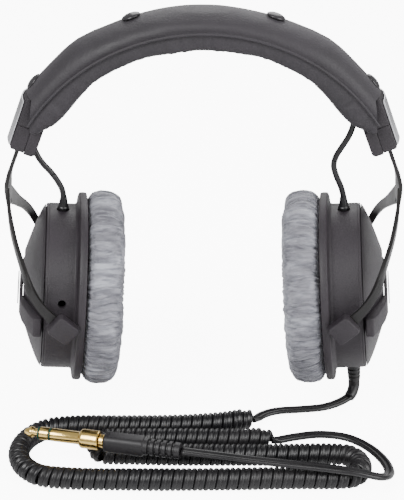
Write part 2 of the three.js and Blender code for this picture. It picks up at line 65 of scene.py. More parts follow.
SPLIT_U = 10.1
FACE_U = 20.3
FACE_R = 17.5
PAD_FACE_U = -29.5
SLIDE_TILT = math.radians(21)
STEM_EXIT = (91.6, 74)
STEEL = 1.8
FLOOR = -68
COIL_D = 11
CORD_D = 5
CORD_Z = FLOOR + CORD_D / 2 + 0.3
COIL_Z = FLOOR + COIL_D / 2 + 0.05
SIDES = (("l", 1), ("r", -1))


# ---- camera, floor and light ----------------------------------------------------------------
def set_inputs(node, values):
    for key, value in values.items():
        node.inputs[key].default_value = value


def configure(target, **values):
    for key, value in values.items():
        setattr(target, key, value)


def aim(obj, target):
    obj.rotation_euler = (Vector(target) - obj.location).to_track_quat("-Z", "Y").to_euler()


def make_camera():
    elevation, distance = math.radians(24.5), 0.63
    target = Vector((0, 0, -0.1083))
    data = bpy.data.cameras.new("camera")
    configure(data, sensor_fit="VERTICAL", sensor_height=36, lens=88.9, shift_x=-0.003)
    cam = bpy.data.objects.new("camera", data)
    cam.location = target + distance * Vector((0, -math.cos(elevation), math.sin(elevation)))
    aim(cam, target)
    bpy.context.collection.objects.link(cam)
    bpy.context.scene.camera = cam


def seen_only(nodes, links, seen, otherwise):
    """A strength that is higher where the eye meets the surface than in the light it gives off."""
    path = nodes.new("ShaderNodeLightPath")
    level = nodes.new("ShaderNodeMapRange")
    set_inputs(level, {"To Min": otherwise, "To Max": seen})
    links.new(path.outputs["Is Camera Ray"], level.inputs["Value"])
    return level.outputs["Result"]


def make_floor():
    bpy.ops.mesh.primitive_plane_add(size=8, location=(0, 0, (CUP_Z + FLOOR) * MM))
    floor = bpy.context.object
    floor.name = "floor"
    mat, n, l = new_material("floor_white")
    set_inputs(n["bsdf"], {"Base Color": (0.93, 0.93, 0.94, 1), "Roughness": 0.35,
                           "Emission Color": (1, 1, 1, 1)})
    l.new(seen_only(n["all"], l, 9, 0), n["bsdf"].inputs["Emission Strength"])
    floor.data.materials.append(mat)


def area_light(name, place, target, size, power):
    data = bpy.data.lights.new(name, "AREA")
    configure(data, energy=power, size=size)
    light = bpy.data.objects.new(name, data)
    light.location = place
    bpy.context.collection.objects.link(light)
    aim(light, target)


def make_lights():
    world = bpy.data.worlds.new("studio")
    world.use_nodes = True
    nodes, links = world.node_tree.nodes, world.node_tree.links
    nodes["Background"].inputs["Color"].default_value = (1, 1, 1, 1)
    links.new(seen_only(nodes, links, 8, 0.5), nodes["Background"].inputs["Strength"])
    bpy.context.scene.world = world
    area_light("key", (-0.55, -0.75, 0.75), (0, 0, -0.1), 0.7, 19)
    area_light("fill", (0.8, -0.5, 0.35), (0, 0, -0.1), 0.8, 12)
    area_light("rim", (0.1, 0.9, 0.6), (0, 0, -0.05), 0.8, 7)


# ---- materials ------------------------------------------------------------------------------
def new_material(name):
    mat = bpy.data.materials.new(name)
    mat.use_nodes = True
    nodes = mat.node_tree.nodes
    return mat, {"bsdf": nodes["Principled BSDF"], "all": nodes}, mat.node_tree.links


def texture_space(nodes, links, scale=(1, 1, 1)):
    coords = nodes["all"].new("ShaderNodeTexCoord")
    mapping = nodes["all"].new("ShaderNodeMapping")
    mapping.inputs["Scale"].default_value = scale
    links.new(coords.outputs["Object"], mapping.inputs["Vector"])
    return mapping.outputs["Vector"]


def noise_node(nodes, links, space, scale, detail=4, roughness=0.55):
    node = nodes["all"].new("ShaderNodeTexNoise")
    set_inputs(node, {"Scale": scale, "Detail": detail, "Roughness": roughness})
    links.new(space, node.inputs["Vector"])
    return node.outputs["Fac"]


def ramp(nodes, links, value, stops):
    node = nodes["all"].new("ShaderNodeValToRGB")
    for i, (at, colour) in enumerate(stops):
        stop = node.color_ramp.elements[i] if i < 2 else node.color_ramp.elements.new(at)
        stop.position = at
        stop.color = (*colour, 1)
    links.new(value, node.inputs["Fac"])
    return node.outputs["Color"]


def spread(nodes, links, value, low, high, out_low, out_high):
    node = nodes["all"].new("ShaderNodeMapRange")
    set_inputs(node, {"From Min": low, "From Max": high, "To Min": out_low, "To Max": out_high})
    links.new(value, node.inputs["Value"])
    return node.outputs["Result"]


def bump(nodes, links, height, distance, strength=1.0, under=None):
    node = nodes["all"].new("ShaderNodeBump")
    set_inputs(node, {"Distance": distance, "Strength": strength})
    links.new(height, node.inputs["Height"])
    if under is not None:
        links.new(under, node.inputs["Normal"])
    return node.outputs["Normal"]


def plastic(name, dark, light, grain=1500, depth=0.00022, rough=(0.42, 0.62), specular=0.4):
    """Moulded plastic with a spark-eroded grain, a little uneven in colour and gloss."""
    mat, n, l = new_material(name)
    space = texture_space(n, l)
    cloud = noise_node(n, l, space, 38, 5)
    fine = noise_node(n, l, space, grain, 2, 0.7)
    l.new(ramp(n, l, cloud, ((0.3, dark), (0.7, light))), n["bsdf"].inputs["Base Color"])
    l.new(spread(n, l, cloud, 0.3, 0.7, *rough), n["bsdf"].inputs["Roughness"])
    n["bsdf"].inputs["Specular IOR Level"].default_value = specular
    l.new(bump(n, l, fine, depth), n["bsdf"].inputs["Normal"])
    return mat


def metal(name, colour, rough=(0.2, 0.35), brushed=(1, 1, 1), depth=0.00002, scale=900):
    """Metal with fine brushing or polish marks along one direction."""
    mat, n, l = new_material(name)
    space = texture_space(n, l, brushed)
    marks = noise_node(n, l, space, scale, 3)
    cloud = noise_node(n, l, texture_space(n, l), 60, 3)
    dim = tuple(c * 0.8 for c in colour)
    l.new(ramp(n, l, cloud, ((0.3, dim), (0.7, colour))), n["bsdf"].inputs["Base Color"])
    l.new(spread(n, l, marks, 0.3, 0.7, *rough), n["bsdf"].inputs["Roughness"])
    n["bsdf"].inputs["Metallic"].default_value = 1.0
    l.new(bump(n, l, marks, depth), n["bsdf"].inputs["Normal"])
    return mat


def leatherette():
    """Soft matt upholstery with a pebbled grain."""
    mat, n, l = new_material("leatherette")
    space = texture_space(n, l)
    cells = n["all"].new("ShaderNodeTexVoronoi")
    cells.feature = "SMOOTH_F1"
    cells.inputs["Scale"].default_value = 1150
    l.new(space, cells.inputs["Vector"])
    cloud = noise_node(n, l, space, 30, 6, 0.6)
    l.new(ramp(n, l, cloud, ((0.3, (0.0122, 0.0102, 0.013)), (0.75, (0.0232, 0.0196, 0.0244)))),
          n["bsdf"].inputs["Base Color"])
    l.new(spread(n, l, cloud, 0.3, 0.7, 0.55, 0.75), n["bsdf"].inputs["Roughness"])
    set_inputs(n["bsdf"], {"Sheen Weight": 0.08, "Sheen Roughness": 0.5, "Sheen Tint": (0.75, 0.72, 0.78, 1)})
    soft = bump(n, l, cloud, 0.0009, 0.6)
    l.new(bump(n, l, cells.outputs["Distance"], 0.00016, 0.8, soft), n["bsdf"].inputs["Normal"])
    return mat


def velour():
    """Silver-grey pile with fine fibres; its colour is painted lighter and darker in patches as painted sheen
    of the brushed pile, and darker in streaks along the pad's axis as painted fold shade.
    """
    mat, n, l = new_material("velour")
    space = texture_space(n, l, (0.35, 1, 1))
    # this noise paints sheen into the colour as light and dark patches, and also raises the pile's bump
    brushed = noise_node(n, l, space, 85, 6, 0.62)
    fibres = noise_node(n, l, texture_space(n, l), 1900, 3, 0.8)
    colour = ramp(n, l, brushed, ((0.28, (0.125, 0.125, 0.14)), (0.5, (0.25, 0.25, 0.277)),
                                  (0.68, (0.42, 0.43, 0.475))))
    # painted shade: darker streaks along the pad's axis, multiplied into the colour, standing for the shade
    # in its folds
    painted_fold_shade_streaks = noise_node(n, l, texture_space(n, l, (0.16, 1, 1)), 430, 3, 0.6)
    shade = ramp(n, l, painted_fold_shade_streaks, ((0.36, (0.52, 0.52, 0.54)), (0.5, (0.8, 0.8, 0.81)), (0.62, (1, 1, 1))))
    both = n["all"].new("ShaderNodeMix")
    both.data_type = "RGBA"
    both.blend_type = "MULTIPLY"
    both.inputs["Factor"].default_value = 1
    l.new(colour, both.inputs[6])
    l.new(shade, both.inputs[7])
    l.new(both.outputs[2], n["bsdf"].inputs["Base Color"])
    set_inputs(n["bsdf"], {"Roughness": 0.95, "Specular IOR Level": 0.15, "Sheen Weight": 0.85,
                           "Sheen Roughness": 0.35, "Sheen Tint": (0.92, 0.93, 1, 1)})
    pile = bump(n, l, brushed, 0.0008, 0.7)
    l.new(bump(n, l, fibres, 0.0003, 0.9, pile), n["bsdf"].inputs["Normal"])
    return mat


def foam():
    """Open black foam, with its cells showing, each cell's hollow painted darker as shade."""
    mat, n, l = new_material("open_foam")
    space = texture_space(n, l)
    cells = n["all"].new("ShaderNodeTexVoronoi")
    cells.inputs["Scale"].default_value = 900
    l.new(space, cells.inputs["Vector"])
    # painted shade: darkest at each cell's middle, where the bump sinks into a hollow
    colour = ramp(n, l, cells.outputs["Distance"], ((0.1, (0.004, 0.004, 0.005)), (0.7, (0.03, 0.03, 0.033))))
    l.new(colour, n["bsdf"].inputs["Base Color"])
    n["bsdf"].inputs["Roughness"].default_value = 0.95
    l.new(bump(n, l, cells.outputs["Distance"], 0.0008), n["bsdf"].inputs["Normal"])
    return mat


def make_materials():
    return {
        "charcoal": plastic("charcoal_plastic", (0.0145, 0.0118, 0.0148), (0.024, 0.0196, 0.0244)),
        "cover": plastic("cover_plastic", (0.0145, 0.012, 0.0147), (0.0228, 0.0192, 0.023),
                         rough=(0.36, 0.5)),
        "black": plastic("black_plastic", (0.012, 0.012, 0.013), (0.022, 0.021, 0.023), rough=(0.3, 0.45)),
        "stud": plastic("stud_gloss", (0.02, 0.019, 0.021), (0.03, 0.028, 0.031), depth=0.00002,
                        rough=(0.16, 0.3)),
        "rubber": plastic("cord_rubber", (0.006, 0.006, 0.007), (0.012, 0.011, 0.012), depth=0.00005,
                          rough=(0.28, 0.42)),
        "boot": plastic("plug_rubber", (0.006, 0.0055, 0.0064), (0.012, 0.0108, 0.0122), grain=1800,
                        depth=0.00006, rough=(0.34, 0.5)),
        "steel_paint": plastic("fork_paint", (0.006, 0.0055, 0.0056), (0.011, 0.01, 0.01), depth=0.00004,
                               rough=(0.32, 0.45), specular=0.35),
        "spring": metal("spring_steel", (0.55, 0.55, 0.57), brushed=(0.1, 1, 1)),
        "plate": metal("brushed_plate", (0.6, 0.6, 0.62), (0.34, 0.5), brushed=(1, 1, 0.06)),
        "gold": metal("gold_plate", (0.93, 0.66, 0.22), (0.12, 0.26)),
        "green": plastic("green_insulator", (0.005, 0.03, 0.02), (0.01, 0.05, 0.032), rough=(0.2, 0.3)),
        "leatherette": leatherette(),
        "velour": velour(),
        "foam": foam(),
    }


# ---- mesh helpers ---------------------------------------------------------------------------
def scaled(point):
    return tuple(c * MM for c in point)


def add_object(name, verts, faces, material):
    """A mesh from points in millimetres of the shared frame, with its faces turned outwards."""
    mesh = bpy.data.meshes.new(name)
    mesh.from_pydata([scaled(v) for v in verts], [], faces)
    bm = bmesh.new()
    bm.from_mesh(mesh)
    bmesh.ops.remove_doubles(bm, verts=bm.verts, dist=1e-7)
    bmesh.ops.recalc_face_normals(bm, faces=bm.faces)
    bm.to_mesh(mesh)
    bm.free()
    mesh.materials.append(material)
    obj = bpy.data.objects.new(name, mesh)
    bpy.context.collection.objects.link(obj)
    return smooth_shade(obj)


def register(obj, body, slot, *nodes):
    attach(obj, body)
    if nodes:
        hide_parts(*nodes)
    return obj


def bend(obj, nodes):
    """Hide the CAD nodes that a piece replaces and bake its placement into its points."""
    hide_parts(*nodes)
    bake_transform(obj)
    return obj


def apply_modifiers(obj):
    bpy.context.view_layer.update()
    baked = bpy.data.meshes.new_from_object(obj.evaluated_get(bpy.context.evaluated_depsgraph_get()))
    obj.modifiers.clear()
    obj.data = baked
    return obj


def modify(obj, kind, **settings):
    configure(obj.modifiers.new(kind.lower(), kind), **settings)
    return apply_modifiers(obj)


def bevel(obj, width, segments=3, angle=35):
    modify(obj, "BEVEL", width=width * MM, segments=segments, limit_method="ANGLE",
           angle_limit=math.radians(angle))
    return sharp_shade(obj)


def smooth_shade(obj):
    obj.data.polygons.foreach_set("use_smooth", [True] * len(obj.data.polygons))
    return obj


def sharp_shade(obj, angle=38):
    smooth_shade(obj).data.set_sharp_from_angle(angle=math.radians(angle))
    return obj


def boolean(obj, tool, kind="DIFFERENCE"):
    """Cut obj by tool, or join them, and take the tool away."""
    modify(obj, "BOOLEAN", operation=kind, solver="EXACT", object=tool)
    bpy.data.objects.remove(tool)
    return obj


def revolve(profile, sides=128, closed=False, shape=None):
    """Points and faces of [along, radius] pairs turned about the X axis; shape may move each point."""
    verts, faces, count = [], [], len(profile)
    for i in range(sides):
        a = 2 * math.pi * i / sides
        for j, (u, r) in enumerate(profile):
            p = (u, r * math.sin(a), r * math.cos(a))
            verts.append(shape(p, a, j) if shape else p)
    for i in range(sides):
        k = (i + 1) % sides
        for j in range(count if closed else count - 1):
            m = (j + 1) % count
            faces.append([i * count + j, i * count + m, k * count + m, k * count + j])
    return verts, faces


def rounded(profile, radius, steps=4, closed=False):
    """The same outline with each inner corner turned into a small arc."""
    out, n = [], len(profile)
    for i, p in enumerate(profile):
        if not closed and i in (0, n - 1):
            out.append(p)
            continue
        p = Vector(p)
        before, after = Vector(profile[i - 1]) - p, Vector(profile[(i + 1) % n]) - p
        r = min(radius, before.length * 0.45, after.length * 0.45)
        a, b = p + before.normalized() * r, p + after.normalized() * r
        for k in range(steps + 1):
            t = k / steps
            out.append(tuple((1 - t) ** 2 * a + 2 * t * (1 - t) * p + t * t * b))
    return out


def toed(x, y, z):
    """From the yoke's own frame, turned in about the cup's upright centre line."""
    c, d = math.cos(TOE_IN), math.sin(TOE_IN)
    return (PIVOT_X + x * c - y * d, x * d + y * c, z)


def in_cup(point, sx):
    """From a cup's own frame, its axis along X from the pivot, to the shared frame."""
    u, y, z = point
    x, y, z = toed(u * math.cos(SPLAY) + z * math.sin(SPLAY), y,
                   -u * math.sin(SPLAY) + z * math.cos(SPLAY))
    return (sx * x, y, CUP_Z + z)


def from_cup(point, sx):
    """The inverse of in_cup."""
    x, y, z = sx * point[0] - PIVOT_X, point[1], point[2] - CUP_Z
    c, d = math.cos(TOE_IN), math.sin(TOE_IN)
    x, y = x * c + y * d, y * c - x * d
    return (x * math.cos(SPLAY) - z * math.sin(SPLAY), y, x * math.sin(SPLAY) + z * math.cos(SPLAY))


def in_fork(point, sx):
    x, y, z = point
    return (sx * x, y, CUP_Z + z)


def along_stem(s, t, y, sx):
    """s runs down the fork's stem from where it leaves the slider, t outwards across it."""
    x = STEM_EXIT[0] + s * math.sin(SLIDE_TILT) + t * math.cos(SLIDE_TILT)
    z = STEM_EXIT[1] - s * math.cos(SLIDE_TILT) + t * math.sin(SLIDE_TILT)
    return (sx * x, y, CUP_Z + z)


def on_arch(radius, degrees, y):
    a = math.radians(degrees)
    return (radius * math.sin(a), y, ARCH_Z + radius * math.cos(a))


def sweep_faces(rings, count):
    """The skin over a row of closed rings of points, with both ends capped."""
    faces = []
    for i in range(rings - 1):
        for j in range(count):
            m = (j + 1) % count
            faces.append([i * count + j, i * count + m, (i + 1) * count + m, (i + 1) * count + j])
    return faces + [list(range(count)), [(rings - 1) * count + j for j in range(count)]]


def prism_faces(count):
    """The ends and sides between two outlines of as many points, one after the other."""
    sides = [[j, (j + 1) % count, count + (j + 1) % count, count + j] for j in range(count)]
    return [list(range(count)), list(range(count, 2 * count))] + sides


def round_ring(centre, radius, side, up, count):
    turns = [2 * math.pi * k / count for k in range(count)]
    return [centre + radius * (math.cos(t) * side + math.sin(t) * up) for t in turns]


BOX_FACES = [(0, 1, 3, 2), (4, 6, 7, 5), (0, 4, 5, 1), (2, 3, 7, 6), (0, 2, 6, 4), (1, 5, 7, 3)]


def box_mesh(x0, x1, y0, y1, z0, z1):
    return [(x, y, z) for x in (x0, x1) for y in (y0, y1) for z in (z0, z1)], BOX_FACES


def smooth_path(points, spacing):
    """Evenly spaced points on the rounded curve that the CAD's tubes follow, and its length."""
    pts = [Vector(p) for p in points]
    pts = [2 * pts[0] - pts[1], *pts, 2 * pts[-1] - pts[-2]]
    dense = []

    def between(p, q, start, end):
        return (end - t) / (end - start) * p + (t - start) / (end - start) * q

    for a, b, c, d in zip(pts, pts[1:], pts[2:], pts[3:]):
        k0 = 0
        k1 = k0 + (b - a).length ** 0.5
        k2 = k1 + (c - b).length ** 0.5
        k3 = k2 + (d - c).length ** 0.5
        for i in range(24):
            t = k1 + (k2 - k1) * i / 24
            ab, bc, cd = between(a, b, k0, k1), between(b, c, k1, k2), between(c, d, k2, k3)
            dense.append(between(between(ab, bc, k0, k2), between(bc, cd, k1, k3), k1, k2))
    dense.append(pts[-2])
    line = np.array([tuple(p) for p in dense])
    along = np.concatenate([[0], np.cumsum(np.linalg.norm(np.diff(line, axis=0), axis=1))])
    at = np.linspace(0, along[-1], max(2, round(along[-1] / spacing) + 1))
    return np.stack([np.interp(at, along, line[:, k]) for k in range(3)], axis=1), along[-1]


def frames_along(line, first_up):
    """A direction, side and up vector at each point, turning as little as possible."""
    ahead = np.gradient(line, axis=0)
    ahead /= np.linalg.norm(ahead, axis=1)[:, None]
    ups = []
    up = np.array(first_up, float)
    for t in ahead:
        up = up - t * (up @ t)
        up /= np.linalg.norm(up)
        ups.append(up)
    ups = np.array(ups)
    return ahead, np.cross(ahead, ups), ups


# ---- the cord -------------------------------------------------------------------------------
STRAIGHT_ROUTE = [(80.7, 0.3, -56.9), (80.6, -0.8, -60), (78.8, -3.6, -63.6), (74, -7.6, CORD_Z + 0.3),
                  (64, -13.4, CORD_Z), (51, -15.8, CORD_Z), (38, -17.6, CORD_Z), (30.8, -21.4, CORD_Z),
                  (26.2, -26.8, CORD_Z)]
RUN_BACK, RUN_FRONT, RUN_MID, RUN_INNER = -36, -82, -61.5, -48.2


def half_turn(x, y0, y1, outwards):
    middle, r = (y0 + y1) / 2, abs(y1 - y0) / 2
    turn = [math.radians(a) for a in (30, 60, 90, 120, 150)]
    return [(x + outwards * r * math.sin(a), middle + (y0 - middle) * math.cos(a), COIL_Z) for a in turn]


COIL_ROUTE = [(25, -28.2, COIL_Z), (10, -32.6, COIL_Z), (-15, -35.4, COIL_Z), (-40, RUN_BACK, COIL_Z),
              (-66, RUN_BACK, COIL_Z), *half_turn(-68, RUN_BACK, RUN_FRONT, -1), (-66, RUN_FRONT, COIL_Z),
              (-35, RUN_FRONT - 1, COIL_Z), (0, RUN_FRONT - 1, COIL_Z), (35, RUN_FRONT, COIL_Z),
              *half_turn(66, RUN_FRONT, RUN_MID, 1), (62, RUN_MID, COIL_Z), (35, RUN_MID - 0.8, COIL_Z),
              (0, RUN_MID - 0.8, COIL_Z), (-35, RUN_MID, COIL_Z), *half_turn(-46, RUN_MID, RUN_INNER, -1),
              (-40, RUN_INNER, COIL_Z), (-15, RUN_INNER + 0.4, COIL_Z), (12, RUN_INNER, COIL_Z),
              (34, RUN_INNER + 1, COIL_Z)]
ON_TOP = FLOOR + COIL_D + CORD_D / 2
TAIL_ROUTE = [(34.7, -46.8, CORD_Z + 0.4), (47, -42, CORD_Z), (60, -39.8, CORD_Z), (73, -42.8, CORD_Z),
              (83, -52, CORD_Z), (89, -64, CORD_Z), (89.6, -76, CORD_Z + 1.5), (84, -85.6, CORD_Z + 6),
              (72, -87.8, ON_TOP - 0.4), (57, -85.6, ON_TOP + 0.5), (40, -82.6, ON_TOP + 0.6),
              (22, -80, ON_TOP + 1.2), (6, -78.2, ON_TOP + 2.4), (-10.6, -76.5, FLOOR + COIL_D + 6.2)]
LOBE_R = 1.3              # each lobe of the twin cord
COIL_PITCH = 5.24
RING = 18                 # points round the twin cord's section


def twin_section():
    """A figure of eight: two round lobes side by side with a web between, as (side, up)."""
    points = []
    for centre, start in ((LOBE_R, -158), (-LOBE_R, 22)):
        for k in range(RING // 2):
            a = math.radians(start + 316 * k / (RING // 2 - 1))
            points.append((centre + LOBE_R * math.cos(a), LOBE_R * math.sin(a)))
    return points


def cord_line():
    """The middle of the whole cord, with the direction that its width lies in at each point."""
    straight, _ = smooth_path(STRAIGHT_ROUTE, 1.6)
    core, core_mm = smooth_path(COIL_ROUTE, 0.35)
    tail, _ = smooth_path(TAIL_ROUTE, 1.8)
    per_turn = 14
    steps = round(core_mm / COIL_PITCH) * per_turn
    pick = np.linspace(0, len(core) - 1, steps + 1)
    core = np.stack([np.interp(pick, np.arange(len(core)), core[:, k]) for k in range(3)], axis=1)
    ahead, side, up = frames_along(core, (0, 0, 1))
    turn = 2 * math.pi * np.arange(steps + 1) / per_turn - math.pi / 2
    r = COIL_D / 2 - LOBE_R
    shrink = np.clip(np.minimum(np.arange(steps + 1), steps - np.arange(steps + 1)) / (per_turn * 0.75), 0, 1)
    loose = 1 + 0.02 * np.sin(np.arange(steps + 1) * 0.013) + 0.012 * np.sin(np.arange(steps + 1) * 0.047)
    radial = np.cos(turn)[:, None] * side + np.sin(turn)[:, None] * up
    helix = core + (r * loose * (0.35 + 0.65 * shrink))[:, None] * radial
    line = np.concatenate([straight[:-2], helix, tail[2:]])
    flat_side = np.cross(np.gradient(straight, axis=0), (0, 0, 1))
    tail_side = np.cross(np.gradient(tail, axis=0), (0, 0, 1))
    width = np.concatenate([flat_side[:-2], ahead, tail_side[2:]])
    width[:3] = (0, 1, 0)
    return line, width


SLEEVE_SHARE = 0.16       # how much of the straight stretch the sleeve covers


def make_cord(mats, extras):
    line, width = cord_line()
    for _ in range(2):
        width[1:-1] = (width[:-2] + width[1:-1] + width[2:]) / 3
    ahead = np.gradient(line, axis=0)
    ahead /= np.linalg.norm(ahead, axis=1)[:, None]
    width /= np.maximum(np.linalg.norm(width, axis=1), 1e-9)[:, None]
    width -= ahead * np.sum(width * ahead, axis=1)[:, None]
    width /= np.maximum(np.linalg.norm(width, axis=1), 1e-9)[:, None]
    up = np.cross(ahead, width)
    section = twin_section()
    rings = line[:, None, :] + sum(
        np.array([s[k] for s in section])[None, :, None] * d[:, None, :] for k, d in ((0, width), (1, up)))
    verts = [(x, y, z + CUP_Z) for x, y, z in rings.reshape(-1, 3)]
    cord = add_object("main_cord", verts, sweep_faces(len(line), len(section)), mats["rubber"])
    nodes = ("cord_straight", "cord_coil", "cord_tail")
    bend(cord, nodes)
    return cord


# ---- the plug and its adapter ---------------------------------------------------------------
PLUG_END = (-11, -76.4, FLOOR + COIL_D + 6.2)
PLUG_TURN = math.radians(167.2)


def in_plug(point):
    u, a, b = point
    x = PLUG_END[0] + u * math.cos(PLUG_TURN) - a * math.sin(PLUG_TURN)
    y = PLUG_END[1] + u * math.sin(PLUG_TURN) + a * math.cos(PLUG_TURN)
    return (x, y, PLUG_END[2] + b + CUP_Z)


def plug_piece(name, profile, material, body, slot, node, sides=64, shape=None, radius=0.3):
    profile = rounded(profile, radius)
    verts, faces = revolve(profile, sides, shape=shape)
    obj = add_object(name, [in_plug(v) for v in verts], faces, material)
    return register(sharp_shade(obj, 50), body, slot, node)


def boot_shape(p, angle, _):
    """The plug's body squared a little, with a shallow flat along its top and bottom."""
    u, y, z = p
    r = math.hypot(y, z)
    if u > 18.2:
        square = 1 + 0.05 * math.cos(4 * angle + math.pi)
        y, z = y * square, z * square
    if 20.5 < u < 35.2 and r > 4.4 and abs(y) < 3:
        z = math.copysign(min(abs(z), 4.3), z)
    return (u, y, z)


def knurl(p, angle, _):
    u, y, z = p
    r = math.hypot(y, z)
    if r > 4.5 and 41.5 < u < 48.4:
        k = 1 - 0.05 * (0.5 + 0.5 * math.cos(angle * 36))
        return (u, y * k, z * k)
    return p


def make_plug(mats):
    """The moulded plug body, its small jack, and the adapter's sleeve, rings and tip."""
    boot_profile = [(0, 0), (0, 3.9), (2.4, 4)]
    for k in range(5):
        u = 2.6 + 3.0 * k
        boot_profile += [(u, 4.05), (u + 0.25, 3), (u + 1.05, 3), (u + 1.3, 4.1)]
    boot_profile += [(17.8, 4.2), (18.2, 4.8), (18.7, 4.88), (19.8, 4.88), (35.2, 4.88), (37, 4.8),
                     (37.6, 4.2), (37.6, 0)]
    boot = plug_piece("plug_boot_moulding", boot_profile, mats["boot"], "headband", "cord_black", "plug_boot",
                      96, boot_shape, 0.18)
    jack = plug_piece("jack_small_metal", [(37.9, 0), (37.9, 3.2), (40.2, 3.2), (40.2, 1.75), (53.5, 1.75),
                                           (55.5, 0.6), (55.8, 0)], mats["gold"], "headband", "gold",
                      "jack_small")
    sleeve_profile = [(40.5, 2.05), (40.5, 4.5), (41, 4.7), (41.5, 4.7), (48.4, 4.7), (49.1, 4.6), (49.8, 4),
                      (50.3, 3.4), (50.6, 3.18), (64.6, 3.18), (64.6, 1.2), (57, 1.2), (56.4, 2.05)]
    verts, faces = revolve(sleeve_profile, 256, True, knurl)
    sleeve = add_object("adapter_sleeve_metal", [in_plug(v) for v in verts], faces, mats["gold"])
    register(sharp_shade(sleeve, 50), "adapter", "gold", "adapter_sleeve")
    pieces = [boot, jack, sleeve]
    for end, at in (("rear", 64.9), ("front", 70.6)):
        pieces.append(plug_piece(f"adapter_insulator_{end}_ring", [(at, 0), (at, 3.14), (at + 0.7, 3.14),
                                 (at + 0.7, 0)], mats["green"], "adapter", "green_insulator",
                                 f"adapter_insulator_{end}", radius=0.08))
    pieces.append(plug_piece("adapter_ring_metal", [(65.9, 0), (65.9, 3.17), (70.3, 3.17), (70.3, 0)],
                             mats["gold"], "adapter", "gold", "adapter_ring", radius=0.12))
    tip = [(71.6, 0), (71.6, 2.2), (73, 1.95), (73.4, 2), (74.4, 2.7), (75.2, 2.74), (76, 2.45), (78.2, 1.15),
           (78.8, 0)]
    pieces.append(plug_piece("adapter_tip_metal", tip, mats["gold"], "adapter", "gold", "adapter_tip",
                             radius=0.35))
    return pieces


# ---- the headband ---------------------------------------------------------------------------
EDGE_ROLL = 2.2           # how far the underside's edges hang below its middle


def swell(degrees, height, at, width):
    return height * math.exp(-((abs(degrees) - at) / width) ** 2)


def pad_ring(degrees, count=96, shrink=0.0):
    """One section of the band's pad: a crown above the seams and a flatter underside."""
    close = min(1, math.sqrt(max(0.3, (BAND_END - abs(degrees)) / 7)))
    crown = TOP_R - SEAM_R + swell(degrees, 1.4, 34, 7) - shrink
    under = (SEAM_R - UNDER_R) * close + swell(degrees, 3.8, 48, 9) - shrink
    points = []
    for i in range(count):
        a = 2 * math.pi * i / count
        c, s = math.cos(a), math.sin(a)
        if s >= 0:
            r = SEAM_R + crown * s ** 0.92
        else:
            r = SEAM_R + (-under * (-s) ** 0.22 - EDGE_ROLL * c * c * min(1, -3 * s))
        points.append(on_arch(r, degrees, (BAND_HALF_W - shrink) * c))
    return points


def inflate(obj, voxel, cap, held=None):
    """Swell a closed skin as cloth under pressure; points for which held is true stay where they are."""
    modify(obj, "REMESH", mode="VOXEL", voxel_size=voxel * MM)
    rest = np.empty(len(obj.data.vertices) * 3)
    obj.data.vertices.foreach_get("co", rest)
    cloth = obj.modifiers.new("cloth", "CLOTH")
    configure(cloth.settings, use_pressure=True, uniform_pressure_force=4, quality=5)
    cloth.settings.effector_weights.gravity = 0
    if held:
        group = obj.vertex_groups.new(name="held")
        group.add([v.index for v in obj.data.vertices if held(v.co / MM)], 1.0, "REPLACE")
        cloth.settings.vertex_group_mass = "held"
    for step in range(1, 21):
        bpy.context.scene.frame_set(step)
    swollen = obj.evaluated_get(bpy.context.evaluated_depsgraph_get()).to_mesh()
    moved = np.empty_like(rest)
    swollen.vertices.foreach_get("co", moved)
    bpy.context.scene.frame_set(1)
    obj.modifiers.clear()
    obj.vertex_groups.clear()
    step = (moved - rest).reshape(-1, 3)
    far = np.linalg.norm(step, axis=1)
    step *= np.minimum(1, cap * MM / np.maximum(far, 1e-9))[:, None]
    obj.data.vertices.foreach_set("co", (rest.reshape(-1, 3) + step).ravel())
    obj.data.update()
    return obj


def subdivide(obj, levels):
    return smooth_shade(modify(obj, "SUBSURF", levels=levels, render_levels=levels))


def reshape(obj, move):
    """Move every point by a function of its place in millimetres and its normal."""
    normals = [v.normal.copy() for v in obj.data.vertices]
    for v, normal in zip(obj.data.vertices, normals):
        v.co = Vector(move(v.co / MM, normal)) * MM
    obj.data.update()
    return obj


def band_creases(p, normal):
    """Gathers where the cover is drawn round the foam below its seams, and a groove beside each seam."""
    degrees = math.degrees(math.atan2(p.x, p.z - ARCH_Z))
    radius = math.hypot(p.x, p.z - ARCH_Z)
    side = math.copysign(1, p.y)
    below = max(0, min(1, (SEAM_R - radius) / 4)) * max(0, 1 - (BAND_HALF_W - abs(p.y)) / 8)
    wave = noise.noise((degrees * 0.4, 3.1 * side, 0.3))
    fine = 0.35 - abs(noise.noise((degrees * 0.95, 4.4 * side, radius * 0.08))) * 1.6
    at_seam = math.exp(-((radius - SEAM_R) / 1.3) ** 2) * (1 if abs(p.y) > BAND_HALF_W - 4 else 0)
    uneven = 0.35 * noise.noise((degrees * 0.08, p.y * 0.06, 5.5))
    return p + normal * (below * (0.5 * wave + 0.9 * fine) - 0.5 * at_seam + uneven)


def make_piping(mats, side):
    """The rolled seam along one edge of the pad."""
    reach, steps = BAND_END - 3.4, 220
    line = np.array([on_arch(SEAM_R, -reach + 2 * reach * i / steps, side * (BAND_HALF_W - 0.1))
                     for i in range(steps + 1)])
    _, across, up = frames_along(line, (0, side, 0))
    n, verts = 12, []
    for i, (p, a, b) in enumerate(zip(line, across, up)):
        verts += round_ring(p, 0.55 + 0.05 * noise.noise((i * 0.35, side, 0)), a, b, n)
    name = "band_piping_" + ("back" if side > 0 else "front")
    obj = add_object(name, verts, sweep_faces(len(line), n), mats["leatherette"])
    register(obj, "headband", "leatherette", "headband_pad")


def stem_box(s0, s1, t0, t1, half, sx):
    """Points between two distances down the stem, two across it and half a width either side."""
    return [along_stem(s, t, y, sx) for s in (s0, s1) for t in (t0, t1) for y in (-half, half)], BOX_FACES


